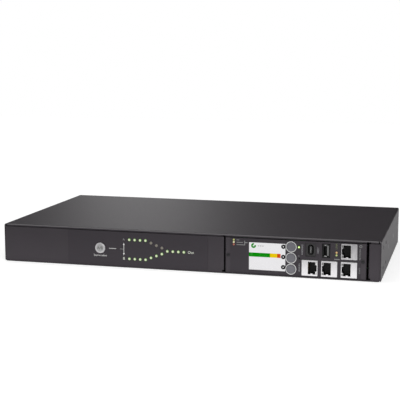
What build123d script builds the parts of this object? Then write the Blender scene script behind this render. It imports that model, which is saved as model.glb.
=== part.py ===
"""One-unit rack transfer switch.

A folded steel tray and cover hold a source mimic panel and a network module at the front,
mains inlets and outlet blocks at the rear, and the relay board between them.

Frame, in millimetres: X to the right seen from the front, Y from front to rear, Z up.
The origin is the middle of the underside, and the front face lies at negative Y.
"""
from build123d import *
import os

os.makedirs("parts", exist_ok=True)

# Case: a tray with four walls, and a cover folded from one sheet
case_width = 432.0
case_depth = 235.0
case_height = 44.0
sheet = 1.2
bend_radius = 1.8
cover_gap = 0.2
side_lift = 0.6
side_corner = 2.0
lip_height = 2.3
lip_end_relief = 1.2
seam = 0.7
return_depth = 7.0
return_inset = 6.0

# Screws that hold the cover, and the holes for the rack brackets on both sides
cover_screw_radius = 1.4
cover_screw_head = 2.6
cover_screw_length = 3.4
cover_screw_pitch = 66.0
cover_screw_rear = 14.0
cover_screw_count = 3
countersink_angle = 45
thread_clearance = 0.08
bracket_hole_radius = 2.2
bracket_from_front = 40.0
bracket_spacing_y = 30.0
bracket_spacing_z = 22.0

# Bay of the network module, with folded sides and standing ears for its two screws
bay_to_side = 13.3
bay_gap_left = 1.3
bay_gap_right = 2.1
bay_flange_depth = 17.0
bay_relief_width = 2.2
bay_relief_height = 2.0
lip_relief_height = 1.0
ear_width = 7.0
ear_edge = 9.3
ear_setback = 3.6

# Printed overlays on the front
overlay = 0.3
overlay_inset = 0.3
overlay_corner = 1.0
module_overlay_end = 5.7
module_overlay_inset = 0.1

# Mimic panel: lamps along the two source paths and the output
mimic_width = 164.5
mimic_to_bay = 18.3
lamp_radius = 1.6
lamp_clearance = 0.15
lamp_proud = 0.35
lamp_collar = 0.5
lamp_collar_height = 1.0
lamp_pitch = 6.36
lamp_rise = 2.5
lamp_row_height = 10.9
lamp_row_count = 4
lamp_slope_count = 3
first_lamp_offset = -8.75
button_offset = -43.35

# Display board behind the mimic panel
board = 1.6
display_depth = 9.0
display_board_edge = 3.6
display_board_margin = 13.0
board_screw_inset = 4.2

# Push buttons, tact switches and their stems
button_radius = 5.95
button_clearance = 0.25
button_proud = 1.0
button_rim = 1.25
button_flange = 1.2
button_edge = 0.5
plunger_radius = 2.0
press_gap = 0.1
switch_size = 6.0
switch_height = 3.5
stem_radius = 1.7
stem_clearance = 0.12
stem_inside = 1.6
stem_outside = 1.6
stem_room = 1.0

# Network module: screen, keys, lamps and jacks, placed from left to right
module_gap = 0.3
module_depth = 13.3
plate_bend = 1.6
controller_inset = 6.0
controller_edge = 1.5
alarm_from_left = 9.6
alarm_radius = 1.0
alarm_collar = 0.2
alarm_pitch = 2.6
alarm_from_top = 2.3
alarm_count = 3
screen_margin = 26.7
screen_width = 40.1
screen_edge = 4.2
window_margin = 0.3
window_clearance = 0.08
window_thickness = 0.8
lcd_ledge = 4.0
lcd_rim = 2.2
lcd_depth = 2.8
holder_wall = 1.6
key_count = 3
key_cell_margin = 1.0
key_rim = 0.6
key_flange = 1.0
key_proud = 0.7
key_edge = 0.3
key_margin = 1.5
key_spacing = 2.8
status_gap = 3.8
reset_offset = 0.5
reset_radius = 0.8
jack_width = 17.1
jack_shell = 0.4
jack_clearance = 0.35
jack_edge = 0.9
jack_gap = 3.95
jack_row_gap = 2.8
jack_column_count = 3
jack_from_status = 3.25
module_margin = 9.85

# Network jack: opening with its stepped latch side, a light in each latch corner and eight contacts
jack_contact_offset = 1.85
jack_main_depth = 8.0
jack_main_wall = 1.65
jack_step_depth = 1.0
jack_step_inset = 3.25
jack_latch_depth = 0.6
jack_latch_inset = 0.4
jack_spring_width = 2.2
jack_spring_height = 1.0
jack_cavity = 11.5
jack_insert_clearance = 0.05
jack_light_width = 1.4
jack_light_height = 2.6
jack_light_edge = 0.7
jack_light_depth = 3.0
contact_pitch = 1.02
contact_width = 0.45
contact_thickness = 0.6
contact_length = 9.0
contact_recess = 1.8
contact_count = 8

# Console and host ports beside the jacks
console_offset = 0.8
console_frame_width = 11.4
console_frame_drop = 2.4
console_bezel_rim = 1.2
console_hole_width = 6.4
console_hole_end = 1.6
console_shell_width = 3.4
console_shell_end = 2.8
console_recess = 0.5
port_shell = 0.4
port_base = 5.0
console_tongue_width = 0.8
console_tongue_end = 4.0
host_offset = -3.5
host_width = 7.0
host_drop = 3.3
host_clearance = 0.8
host_tongue_width = 1.9
host_tongue_end = 1.25
host_tongue_gap = 0.35
tongue_recess = 1.2
link_from_jack = 4.9
link_drops = (1.5, 4.4)

# Captive screws of the module and screws of the boards
module_screw_head = 1.9
module_screw_head_height = 0.7
module_screw_socket = 0.95
module_screw_socket_depth = 0.35
module_screw_radius = 1.25
module_screw_length = 6.0
module_screw_inset = 3.6
board_screw_radius = 1.2
board_screw_head = 2.6
board_screw_head_height = 1.6
board_screw_length = 5.0
standoff_radius = 2.4
standoff_bore_depth = 5.5

# Mains couplers at the rear, upright, with their earth side towards positive X
coupler_depth = 22.0
coupler_line_reach = 7.0
coupler_line_shift = -2.0
coupler_earth_shift = 2.0
coupler_corner = 3.6
coupler_clearance = 0.3
rear_margin_gaps = 2
inlet_width = 17.0
inlet_height = 24.5
inlet_wall = 1.7
inlet_rim = 2.0
inlet_flange = 2.2
inlet_recess = 16.5
pin_width = 4.0
pin_thickness = 2.0
pin_reach = 14.5
pin_tip = 0.5
outlet_core_width = 15.9
outlet_core_height = 23.7
outlet_groove = 2.8
outlet_web = 2.4
outlet_rim = 1.2
outlet_flange = 2.0
outlet_groove_depth = 17.0
outlet_count = 4
outlet_block_count = 3
slot_width = 5.6
slot_height = 3.2
strip_width = 5.0
strip_thickness = 0.8
strip_recess = 3.0

# Boards and parts inside
socket_board_edge = 2.8
socket_board_side = 4.0
power_board_front = 15.0
power_board_rear = 12.0
power_board_side = 9.0
power_standoff = 6.0
power_screw_columns = 3
relay_width = 12.7
relay_length = 29.0
relay_headroom = 8.5
relay_board_edge = 15.5
relay_gap = 6.0
relay_edge = 0.8
transformer_width = 41.0
transformer_length = 35.0
transformer_headroom = 5.0
transformer_gap = 12.0
transformer_edge = 1.5
choke_radius = 14.0
choke_bore = 6.5
choke_height = 14.0
choke_edge = 2.5
capacitor_radius = 8.0
capacitor_headroom = 9.0
capacitor_gap = 5.0
capacitor_edge = 1.0
capacitor_count = 4
part_row_gap = 14.0
link_width = 8.0
link_sheet = 1.2
link_foot = 14.0
link_rise = 20.0
link_spread = 7.0
link_bend = 2.4

# Planes and levels that follow from the case
front_y = -case_depth / 2
rear_y = case_depth / 2
front_inner = front_y + sheet
rear_inner = rear_y - sheet
overlay_y = front_y - overlay
cover_half = case_width / 2
tray_half = cover_half - sheet - cover_gap
tray_top = case_height - bend_radius - cover_gap
front_top = case_height - lip_height - seam
panel_bottom = bend_radius
panel_z = (panel_bottom + front_top) / 2
ceiling = case_height - sheet
module_bottom = panel_bottom + module_gap
module_top = front_top - module_gap
module_height = module_top - module_bottom

# Sizes on the module that follow from its height
ear_top = module_top - ear_edge
screen_height = module_height - 2 * screen_edge
key_pitch = (module_height - 2 * key_cell_margin) / key_count
key_radius = (key_pitch - key_spacing) / 2
jack_height = (module_height - 2 * jack_edge - jack_row_gap) / 2
jack_main_height = jack_height - 2 * jack_main_wall
jack_step_height = jack_main_height - 2 * jack_step_inset
jack_latch_height = jack_step_height - 2 * jack_latch_inset
console_frame_height = jack_height - console_frame_drop
console_hole_height = console_frame_height - 2 * console_hole_end
console_shell_height = console_frame_height - 2 * console_shell_end
console_tongue_height = console_frame_height - 2 * console_tongue_end
host_height = jack_height - host_drop
host_tongue_height = host_height - 2 * host_tongue_end

# The module's bay, which stands a set distance from the right side of the case
jack_pitch = jack_width + jack_gap
key_from_left = screen_margin + screen_width + key_margin + key_radius
status_from_left = key_from_left + key_radius + status_gap
jack_from_left = status_from_left + jack_from_status + jack_width / 2
module_width = jack_from_left + jack_pitch * (jack_column_count - 1) + jack_width / 2 + module_margin
bay_width = module_width + bay_gap_left + bay_gap_right
bay_right = cover_half - bay_to_side
bay_left = bay_right - bay_width
bay_x = (bay_left + bay_right) / 2

# Places along the module, from left to right
module_left = bay_left + bay_gap_left
module_right = bay_right - bay_gap_right
module_x = (module_left + module_right) / 2
alarm_x = module_left + alarm_from_left
screen_x = module_left + screen_margin + screen_width / 2
key_x = module_left + key_from_left
status_x = module_left + status_from_left
jack_columns = [module_left + jack_from_left + jack_pitch * column for column in range(jack_column_count)]
key_places = {
    "upper_key": (key_x, panel_z + key_pitch),
    "middle_key": (key_x, panel_z),
    "lower_key": (key_x, panel_z - key_pitch),
}
alarm_points = [
    (alarm_x, module_top - alarm_from_top - alarm_pitch * step) for step in range(alarm_count)
]
status_point = (status_x, panel_z + key_pitch)
lower_row = module_bottom + jack_edge + jack_height / 2
upper_row = module_top - jack_edge - jack_height / 2
jack_places = {
    "jack_1": (jack_columns[0], lower_row, 1),
    "jack_2": (jack_columns[1], lower_row, -1),
    "jack_3": (jack_columns[2], lower_row, -1),
    "jack_4": (jack_columns[2], upper_row, -1),
}
jack_points = [(x, z) for x, z, latch_side in jack_places.values()]
console_point = (jack_columns[0] + console_offset, upper_row)
host_point = (jack_columns[1] + host_offset, upper_row)
link_x = jack_columns[2] - jack_width / 2 - link_from_jack
link_points = [(link_x, upper_row - drop) for drop in link_drops]
module_lamp_points = alarm_points + [status_point] + link_points
module_screw_points = [
    (module_left + module_screw_inset, panel_z),
    (module_right - module_screw_inset, panel_z),
]
controller_y = front_inner + module_depth

# Places on the mimic panel
mimic_x = bay_left - mimic_to_bay - mimic_width / 2
button_point = (mimic_x + button_offset, panel_z)


def lamp_x(step):
    """Place along the mimic of the lamp that many steps after the first."""
    return mimic_x + first_lamp_offset + lamp_pitch * step


def source_path(side):
    """Straight row of one source, then its slope towards the output; side is +1 or -1."""
    level = panel_z + side * lamp_row_height
    row = [(lamp_x(step), level) for step in range(lamp_row_count)]
    slope = []
    for step in range(1, lamp_slope_count + 1):
        slope.append((lamp_x(lamp_row_count - 1 + step), level - side * lamp_rise * step))
    return row, slope


upper_lamp_row, upper_lamp_slope = source_path(1)
lower_lamp_row, lower_lamp_slope = source_path(-1)
output_start = lamp_row_count + lamp_slope_count
output_lamps = [(lamp_x(output_start + step), panel_z) for step in range(lamp_row_count)]
lit_lamp_points = upper_lamp_row + lower_lamp_row + lower_lamp_slope + output_lamps
unlit_lamp_points = upper_lamp_slope
mimic_lamp_points = lit_lamp_points + unlit_lamp_points
display_y = front_inner + display_depth
display_left = button_point[0] - display_board_margin
display_right = output_lamps[-1][0] + display_board_margin
display_x = (display_left + display_right) / 2
display_board_height = front_top - panel_bottom - 2 * display_board_edge
display_width = display_right - display_left

# Sizes of the couplers at the rear
inlet_body_width = inlet_width + 2 * inlet_wall
inlet_body_height = inlet_height + 2 * inlet_wall
inlet_flange_width = inlet_body_width + 2 * inlet_rim
outlet_width = outlet_core_width + 2 * outlet_groove
outlet_height = outlet_core_height + 2 * outlet_groove
outlet_pitch = outlet_width + outlet_web
outlet_body_width = outlet_pitch * outlet_count + outlet_web
outlet_body_height = outlet_height + outlet_web
outlet_block_width = outlet_body_width + 2 * outlet_rim

# Places at the rear, from the positive X side; what the couplers leave is shared out as gaps
rear_room = 2 * tray_half - 2 * inlet_flange_width - outlet_block_count * outlet_block_width
rear_gap = rear_room / (outlet_block_count + 1 + 2 * rear_margin_gaps)
inlet_pitch = inlet_flange_width + rear_gap
inlet_a_x = tray_half - rear_margin_gaps * rear_gap - inlet_flange_width / 2
inlet_places = {"inlet_a": inlet_a_x, "inlet_b": inlet_a_x - inlet_pitch}
outlet_block_pitch = outlet_block_width + rear_gap
first_block_x = inlet_places["inlet_b"] - inlet_flange_width / 2 - rear_gap - outlet_block_width / 2
outlet_blocks = [first_block_x - outlet_block_pitch * index for index in range(outlet_block_count)]
outlet_steps = [outlet_pitch * (index - (outlet_count - 1) / 2) for index in range(outlet_count)]
outlet_places = [block + step for block in outlet_blocks for step in outlet_steps]
coupler_z = case_height / 2
coupler_front = rear_y - coupler_depth
socket_board_y = coupler_front - board


def contact_points(x):
    """Line, neutral and earth places of one upright coupler centred at x."""
    return [
        (x + coupler_line_shift, coupler_z + coupler_line_reach),
        (x + coupler_line_shift, coupler_z - coupler_line_reach),
        (x + coupler_earth_shift, coupler_z),
    ]


# Places on the power board
power_y_front = controller_y + board + power_board_front
power_y_rear = socket_board_y - power_board_rear
power_y = (power_y_front + power_y_rear) / 2
power_length = power_y_rear - power_y_front
power_half = tray_half - sheet - power_board_side
power_z = sheet + power_standoff
power_top = power_z + board
power_headroom = ceiling - power_top
relay_pitch = relay_width + relay_gap
rear_row_y = power_y_rear - link_foot - part_row_gap - relay_length / 2
relay_a_x = power_half - relay_board_edge - relay_width / 2 - relay_pitch / 2
relay_rows = {"relays_source_a": relay_a_x, "relays_source_b": relay_a_x - 2 * relay_pitch}
transformer_pitch = transformer_width + transformer_gap
transformer_places = [outlet_blocks[1], outlet_blocks[1] - transformer_pitch]
front_row_y = rear_row_y - max(relay_length, transformer_length) / 2 - part_row_gap - choke_radius
choke_places = list(relay_rows.values())
capacitor_pitch = 2 * capacitor_radius + capacitor_gap
capacitor_places = [outlet_blocks[1] - capacitor_pitch * index for index in range(capacitor_count)]
power_link_places = list(relay_rows.values()) + outlet_blocks
power_screw_x = power_half - board_screw_inset
power_screw_y = power_length / 2 - board_screw_inset
power_screw_step = 2 * power_screw_x / (power_screw_columns - 1)
power_screw_points = []
for column in range(power_screw_columns):
    for side in (-1, 1):
        screw_x = -power_screw_x + power_screw_step * column
        power_screw_points.append((screw_x, power_y + side * power_screw_y))
display_screw_points = []
for side_x in (-1, 1):
    for side_z in (-1, 1):
        screw_x = display_x + side_x * (display_width / 2 - board_screw_inset)
        screw_z = panel_z + side_z * (display_board_height / 2 - board_screw_inset)
        display_screw_points.append((screw_x, screw_z))
lcd_left = screen_x - screen_width / 2 - lcd_ledge
lcd_right = screen_x + screen_width / 2 + window_margin
lcd_x = (lcd_left + lcd_right) / 2
lcd_width = lcd_right - lcd_left
lcd_height = screen_height + 2 * lcd_rim
controller_screw_x = (alarm_x + lcd_left) / 2
controller_screw_points = [
    (controller_screw_x, lower_row - standoff_radius),
    (controller_screw_x, panel_z + standoff_radius),
    (status_x, lower_row - standoff_radius),
    (link_x, module_top - 2 * standoff_radius),
]


def wall_plane(y):
    """Upright plane at depth y: local x is X, local y is Z, and its normal points to the front."""
    return Plane.XZ.offset(-y)


def save_piece(builder, name):
    """Label a finished piece and write it to its own file."""
    builder.part.label = name
    export_step(builder.part, f"parts/{name}.step")


def side_points():
    """Bracket holes and cover screws on a side wall, as Y and Z pairs."""
    bracket_y = front_y + bracket_from_front
    brackets = []
    for side_y in (-1, 1):
        for side_z in (-1, 1):
            y = bracket_y + side_y * bracket_spacing_y / 2
            brackets.append((y, case_height / 2 + side_z * bracket_spacing_z / 2))
    last_screw = rear_y - cover_screw_rear
    screws = [
        (last_screw - cover_screw_pitch * index, case_height / 2) for index in range(cover_screw_count)
    ]
    return brackets, screws


bracket_points, cover_screw_points = side_points()

# Tray: floor and four walls, with the module bay, lamp holes and coupler cut-outs
with BuildPart() as base_chassis:
    with BuildSketch():
        Rectangle(2 * tray_half, case_depth)
    extrude(amount=tray_top)
    fillet(base_chassis.edges().group_by(Axis.Z)[0], bend_radius)
    offset(amount=-sheet, openings=base_chassis.faces().sort_by(Axis.Z)[-1])
    # The front wall stops below the cover's lip
    with BuildSketch(wall_plane(front_y)):
        with Locations((0, front_top)):
            Rectangle(case_width, case_height, align=(Align.CENTER, Align.MIN))
    extrude(amount=-(sheet + seam), mode=Mode.SUBTRACT)
    # Open bay, its two folded sides and the reliefs at the foot of each fold
    with BuildSketch(wall_plane(front_y)):
        with Locations((bay_x, panel_bottom)):
            Rectangle(bay_width, case_height, align=(Align.CENTER, Align.MIN))
    extrude(amount=-sheet, mode=Mode.SUBTRACT)
    with BuildSketch(Plane.XY.offset(panel_bottom + bay_relief_height)):
        with Locations((bay_left - sheet / 2, front_y), (bay_right + sheet / 2, front_y)):
            Rectangle(sheet, bay_flange_depth, align=(Align.CENTER, Align.MIN))
    extrude(amount=front_top - panel_bottom - bay_relief_height)
    with BuildSketch(wall_plane(front_y)):
        relief_reach = (bay_width + bay_relief_width) / 2
        with Locations((bay_x - relief_reach, panel_bottom), (bay_x + relief_reach, panel_bottom)):
            Rectangle(bay_relief_width, bay_relief_height, align=(Align.CENTER, Align.MIN))
    extrude(amount=-2 * sheet, mode=Mode.SUBTRACT)
    bay_folds = base_chassis.edges().filter_by(Axis.Z).filter_by_position(Axis.X, bay_left, bay_right)
    fillet(bay_folds.group_by(Axis.Y)[0], bend_radius)
    # Ears that stand on the floor behind the module's ends take its captive screws
    with BuildSketch(wall_plane(front_y + ear_setback)):
        for ear_x in (module_left + ear_width / 2, module_right - ear_width / 2):
            with Locations((ear_x, sheet / 2)):
                Rectangle(ear_width, ear_top - sheet / 2, align=(Align.CENTER, Align.MIN))
        with Locations(*module_screw_points):
            Circle(module_screw_radius + thread_clearance, mode=Mode.SUBTRACT)
    extrude(amount=-sheet)
    # Flanges folded in along the top of the front and rear walls
    with BuildSketch(Plane.XY.offset(front_top - sheet)):
        wall_end = tray_half - sheet
        for flange_left, flange_right in ((-wall_end, bay_left - sheet), (bay_right + sheet, wall_end)):
            with Locations(((flange_left + flange_right) / 2, front_inner)):
                Rectangle(
                    flange_right - flange_left, return_depth - sheet, align=(Align.CENTER, Align.MIN)
                )
    extrude(amount=sheet)
    with BuildSketch(Plane.YZ):
        with BuildLine():
            Polyline(
                (rear_inner, tray_top - sheet),
                (rear_y, tray_top - sheet),
                (rear_y, ceiling),
                (rear_y - return_depth, ceiling),
                (rear_y - return_depth, ceiling - sheet),
                (rear_inner, ceiling - sheet),
                close=True,
            )
        make_face()
    extrude(amount=tray_half - return_inset, both=True)
    # Holes for the lamps and the button
    with BuildSketch(wall_plane(front_y)):
        with Locations(*mimic_lamp_points):
            Circle(lamp_radius + lamp_clearance)
        with Locations(button_point):
            Circle(button_radius + button_clearance)
    extrude(amount=-sheet, mode=Mode.SUBTRACT)
    # Cut-outs for the inlets and the outlet blocks
    with BuildSketch(wall_plane(rear_y)):
        with Locations(*[(x, coupler_z) for x in inlet_places.values()]):
            Rectangle(inlet_body_width + 2 * coupler_clearance, inlet_body_height + 2 * coupler_clearance)
        with Locations(*[(x, coupler_z) for x in outlet_blocks]):
            Rectangle(outlet_body_width + 2 * coupler_clearance, outlet_body_height + 2 * coupler_clearance)
    extrude(amount=sheet, mode=Mode.SUBTRACT)
    # Holes in both sides for the rack brackets and the cover's screws
    with BuildSketch(Plane.YZ):
        with Locations(*bracket_points):
            Circle(bracket_hole_radius)
        with Locations(*cover_screw_points):
            Circle(cover_screw_radius + thread_clearance)
    extrude(amount=case_width, both=True, mode=Mode.SUBTRACT)
save_piece(base_chassis, "base_chassis")

# Cover: top and both sides from one sheet, with a narrow lip folded down at the front
with BuildPart() as top_cover:
    with BuildSketch(wall_plane(rear_y)) as cover_section:
        with Locations((0, side_lift)):
            Rectangle(case_width, case_height - side_lift, align=(Align.CENTER, Align.MIN))
        fillet(cover_section.vertices().group_by(Axis.Y)[-1], bend_radius)
        with BuildSketch(mode=Mode.SUBTRACT) as cover_inside:
            with Locations((0, side_lift)):
                Rectangle(case_width - 2 * sheet, ceiling - side_lift, align=(Align.CENTER, Align.MIN))
            fillet(cover_inside.vertices().group_by(Axis.Y)[-1], bend_radius - sheet)
    extrude(amount=case_depth)
    fillet(top_cover.edges().filter_by(Axis.X).group_by(Axis.Z)[0], side_corner)
    # The top sheet gives way to the fold of the lip
    with BuildSketch(Plane.XY.offset(ceiling)):
        with Locations((0, front_y)):
            Rectangle(case_width - 2 * bend_radius, bend_radius, align=(Align.CENTER, Align.MIN))
    extrude(amount=sheet, mode=Mode.SUBTRACT)
    with BuildSketch(Plane.YZ):
        with BuildLine():
            fold_y = front_y + bend_radius
            fold_z = case_height - bend_radius
            lip_z = case_height - lip_height
            RadiusArc((front_y, fold_z), (fold_y, case_height), bend_radius)
            Line((fold_y, case_height), (fold_y, ceiling))
            RadiusArc((fold_y, ceiling), (front_inner, fold_z), -(bend_radius - sheet))
            Line((front_inner, fold_z), (front_inner, lip_z))
            Line((front_inner, lip_z), (front_y, lip_z))
            Line((front_y, lip_z), (front_y, fold_z))
        make_face()
    extrude(amount=cover_half - bend_radius - lip_end_relief, both=True)
    # Reliefs in the lip above the corners of the module bay
    with BuildSketch(wall_plane(front_y)):
        for corner_x, side, gap in ((bay_left, -1, bay_gap_left), (bay_right, 1, bay_gap_right)):
            with Locations((corner_x + side * (bay_relief_width - gap) / 2, lip_z)):
                Rectangle(bay_relief_width + gap, lip_relief_height, align=(Align.CENTER, Align.MIN))
    extrude(amount=-sheet, mode=Mode.SUBTRACT)
    # Bracket holes and countersunk screw holes in both sides
    with BuildSketch(Plane.YZ):
        with Locations(*bracket_points):
            Circle(bracket_hole_radius)
    extrude(amount=case_width, both=True, mode=Mode.SUBTRACT)
    for side in (-1, 1):
        with BuildSketch(Plane.YZ.offset(side * cover_half)):
            with Locations(*cover_screw_points):
                Circle(cover_screw_head)
        extrude(amount=-side * sheet, taper=countersink_angle, mode=Mode.SUBTRACT)
save_piece(top_cover, "top_cover")

# Six countersunk screws through the cover's sides into the tray
with BuildPart() as cover_screws:
    for side in (-1, 1):
        with BuildSketch(Plane.YZ.offset(side * cover_half)):
            with Locations(*cover_screw_points):
                Circle(cover_screw_head - thread_clearance)
        extrude(amount=-side * sheet, taper=countersink_angle)
        with BuildSketch(Plane.YZ.offset(side * (cover_half - sheet))):
            with Locations(*cover_screw_points):
                Circle(cover_screw_radius - thread_clearance)
        extrude(amount=-side * (cover_screw_length - sheet))
save_piece(cover_screws, "cover_screws")

# Overlay on the front wall, with windows for the lamps and the button
with BuildPart() as mimic_overlay:
    with BuildSketch(wall_plane(front_y)):
        with Locations((mimic_x, panel_z)):
            RectangleRounded(mimic_width, front_top - panel_bottom - 2 * overlay_inset, overlay_corner)
        with Locations(*mimic_lamp_points):
            Circle(lamp_radius + lamp_clearance, mode=Mode.SUBTRACT)
        with Locations(button_point):
            Circle(button_radius + button_clearance, mode=Mode.SUBTRACT)
    extrude(amount=overlay)
save_piece(mimic_overlay, "mimic_overlay")


def lamps(points, radius, collar, board_y):
    """Lamps standing on a board at depth board_y, each with a collar and a domed tip at the overlay."""
    with BuildPart() as lamp_group:
        with BuildSketch(wall_plane(board_y)):
            with Locations(*points):
                Circle(radius)
        extrude(amount=board_y - overlay_y + lamp_proud)
        chamfer(lamp_group.edges().group_by(Axis.Y)[0], lamp_proud)
        with BuildSketch(wall_plane(board_y)):
            with Locations(*points):
                Circle(radius + collar)
        extrude(amount=lamp_collar_height)
    return lamp_group


save_piece(lamps(lit_lamp_points, lamp_radius, lamp_collar, display_y), "mimic_lamps_lit")
save_piece(lamps(unlit_lamp_points, lamp_radius, lamp_collar, display_y), "mimic_lamps_unlit")
save_piece(lamps(alarm_points, alarm_radius, alarm_collar, controller_y), "alarm_lamps")
save_piece(lamps([status_point], alarm_radius, alarm_collar, controller_y), "status_lamp")
save_piece(lamps(link_points, alarm_radius, alarm_collar, controller_y), "link_lamps")


def upright_standoffs(points, length):
    """Hexagonal standoffs behind the front, threaded from the rear."""
    with BuildPart() as standoffs:
        with BuildSketch(wall_plane(front_inner)):
            with Locations(*points):
                RegularPolygon(standoff_radius, 6)
        extrude(amount=-length)
        with BuildSketch(wall_plane(front_inner + length)):
            with Locations(*points):
                Circle(board_screw_radius + thread_clearance)
        extrude(amount=standoff_bore_depth, mode=Mode.SUBTRACT)
    return standoffs


save_piece(upright_standoffs(display_screw_points, display_depth), "display_standoffs")
save_piece(upright_standoffs(controller_screw_points, module_depth), "controller_standoffs")

# Board behind the mimic panel
with BuildPart() as display_board:
    with BuildSketch(wall_plane(display_y)):
        with Locations((display_x, panel_z)):
            Rectangle(display_width, display_board_height)
        with Locations(*display_screw_points):
            Circle(board_screw_radius + thread_clearance, mode=Mode.SUBTRACT)
    extrude(amount=-board)
save_piece(display_board, "display_board")


def push_button(point, radius, rim, flange, proud, edge, board_y):
    """Cap through the front, with a flange behind it and a plunger down to the switch stem."""
    flange_y = front_inner + press_gap
    stem_top = board_y - switch_height - stem_outside
    with BuildPart() as button:
        with BuildSketch(wall_plane(flange_y)):
            with Locations(point):
                Circle(radius)
        extrude(amount=flange_y - overlay_y + proud)
        fillet(button.edges().group_by(Axis.Y)[0], edge)
        with BuildSketch(wall_plane(flange_y)):
            with Locations(point):
                Circle(radius + rim)
        extrude(amount=-flange)
        with BuildSketch(wall_plane(flange_y + flange)):
            with Locations(point):
                Circle(plunger_radius)
        extrude(amount=-(stem_top - flange_y - flange))
    return button


def switch_stem(point, board_y):
    """Moving stem of one tact switch, which a plunger bears on."""
    with BuildPart() as stem:
        with BuildSketch(wall_plane(board_y - switch_height - stem_outside)):
            with Locations(point):
                Circle(stem_radius)
        extrude(amount=-(stem_outside + stem_inside))
    return stem


source_button = push_button(
    button_point, button_radius, button_rim, button_flange, button_proud, button_edge, display_y
)
save_piece(source_button, "preference_button")
save_piece(switch_stem(button_point, display_y), "preference_stem")
for key_name, key_point in key_places.items():
    key = push_button(key_point, key_radius, key_rim, key_flange, key_proud, key_edge, controller_y)
    save_piece(key, key_name)
    save_piece(switch_stem(key_point, controller_y), f"{key_name}_stem")

# Tact switches: one behind the mimic panel and three behind the module's keys
with BuildPart() as tact_switches:
    for switch_y, points in ((display_y, [button_point]), (controller_y, list(key_places.values()))):
        with BuildSketch(wall_plane(switch_y)):
            with Locations(*points):
                Rectangle(switch_size, switch_size)
        extrude(amount=switch_height)
        with BuildSketch(wall_plane(switch_y - switch_height)):
            with Locations(*points):
                Circle(stem_radius + stem_clearance)
        extrude(amount=-(stem_inside + stem_room), mode=Mode.SUBTRACT)
save_piece(tact_switches, "tact_switches")


def module_openings(margin):
    """Cut the openings that the module's plate and overlay share from the sketch in hand."""
    with Locations((screen_x, panel_z)):
        Rectangle(screen_width + 2 * margin, screen_height + 2 * margin, mode=Mode.SUBTRACT)
    with Locations(*key_places.values()):
        Circle(key_radius + button_clearance, mode=Mode.SUBTRACT)
    with Locations(*module_lamp_points):
        Circle(alarm_radius + lamp_clearance, mode=Mode.SUBTRACT)
    with Locations((status_x + reset_offset, panel_z)):
        Circle(reset_radius, mode=Mode.SUBTRACT)
    with Locations(*jack_points):
        Rectangle(jack_width + 2 * jack_clearance, jack_height + 2 * jack_clearance, mode=Mode.SUBTRACT)
    with Locations(console_point):
        Rectangle(console_frame_width, console_frame_height, mode=Mode.SUBTRACT)
    with Locations(host_point):
        Rectangle(host_width + 2 * host_clearance, host_height + 2 * host_clearance, mode=Mode.SUBTRACT)


# Steel plate that carries the module, with both ends folded back to the ears
with BuildPart() as module_faceplate:
    with BuildSketch(wall_plane(front_y)):
        with Locations((module_x, panel_z)):
            Rectangle(module_width, module_height)
        module_openings(window_margin)
        with Locations(*module_screw_points):
            Circle(module_screw_radius + thread_clearance, mode=Mode.SUBTRACT)
    extrude(amount=-sheet)
    with BuildSketch(wall_plane(front_y)):
        with Locations((module_left + sheet / 2, panel_z), (module_right - sheet / 2, panel_z)):
            Rectangle(sheet, module_height)
    extrude(amount=-ear_setback)
    plate_folds = module_faceplate.edges().filter_by(Axis.Z)
    front_folds = plate_folds.group_by(Axis.Y)[0].sort_by(Axis.X)
    rear_folds = plate_folds.filter_by_position(Axis.Y, front_inner, front_inner).sort_by(Axis.X)
    fillet((front_folds[0], front_folds[-1]), plate_bend)
    fillet((rear_folds[0], rear_folds[-1]), plate_bend - sheet)
save_piece(module_faceplate, "module_faceplate")

# Printed overlay on the module's plate, which leaves a bare strip at each end
with BuildPart() as module_overlay:
    with BuildSketch(wall_plane(front_y)):
        with Locations((module_x, panel_z)):
            Rectangle(module_width - 2 * module_overlay_end, module_height - 2 * module_overlay_inset)
        module_openings(0)
    extrude(amount=overlay)
save_piece(module_overlay, "module_overlay")

# Captive screws at the ends of the module
with BuildPart() as module_screws:
    with BuildSketch(wall_plane(front_y)):
        with Locations(*module_screw_points):
            Circle(module_screw_head)
    extrude(amount=module_screw_head_height)
    with BuildSketch(wall_plane(front_y - module_screw_head_height)):
        with Locations(*module_screw_points):
            RegularPolygon(module_screw_socket, 6)
    extrude(amount=-module_screw_socket_depth, mode=Mode.SUBTRACT)
    with BuildSketch(wall_plane(front_y)):
        with Locations(*module_screw_points):
            Circle(module_screw_radius)
    extrude(amount=-module_screw_length)
save_piece(module_screws, "module_screws")

# Controller board, which carries the screen, keys, lamps and jacks
with BuildPart() as controller_board:
    with BuildSketch(wall_plane(controller_y)):
        with Locations((module_x, panel_z)):
            Rectangle(module_width - 2 * controller_inset, module_height - 2 * controller_edge)
        with Locations(*controller_screw_points):
            Circle(board_screw_radius + thread_clearance, mode=Mode.SUBTRACT)
    extrude(amount=-board)
save_piece(controller_board, "controller_board")

# Screen: clear window in the plate, panel behind it and a frame down to the board
with BuildPart() as display_window:
    with BuildSketch(wall_plane(front_y)):
        with Locations((screen_x, panel_z)):
            window_rim = 2 * (window_margin - window_clearance)
            Rectangle(screen_width + window_rim, screen_height + window_rim)
    extrude(amount=-window_thickness)
save_piece(display_window, "display_window")

with BuildPart() as lcd_panel:
    with BuildSketch(wall_plane(front_inner)):
        with Locations((lcd_x, panel_z)):
            Rectangle(lcd_width, lcd_height)
    extrude(amount=-lcd_depth)
save_piece(lcd_panel, "lcd_panel")

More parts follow.
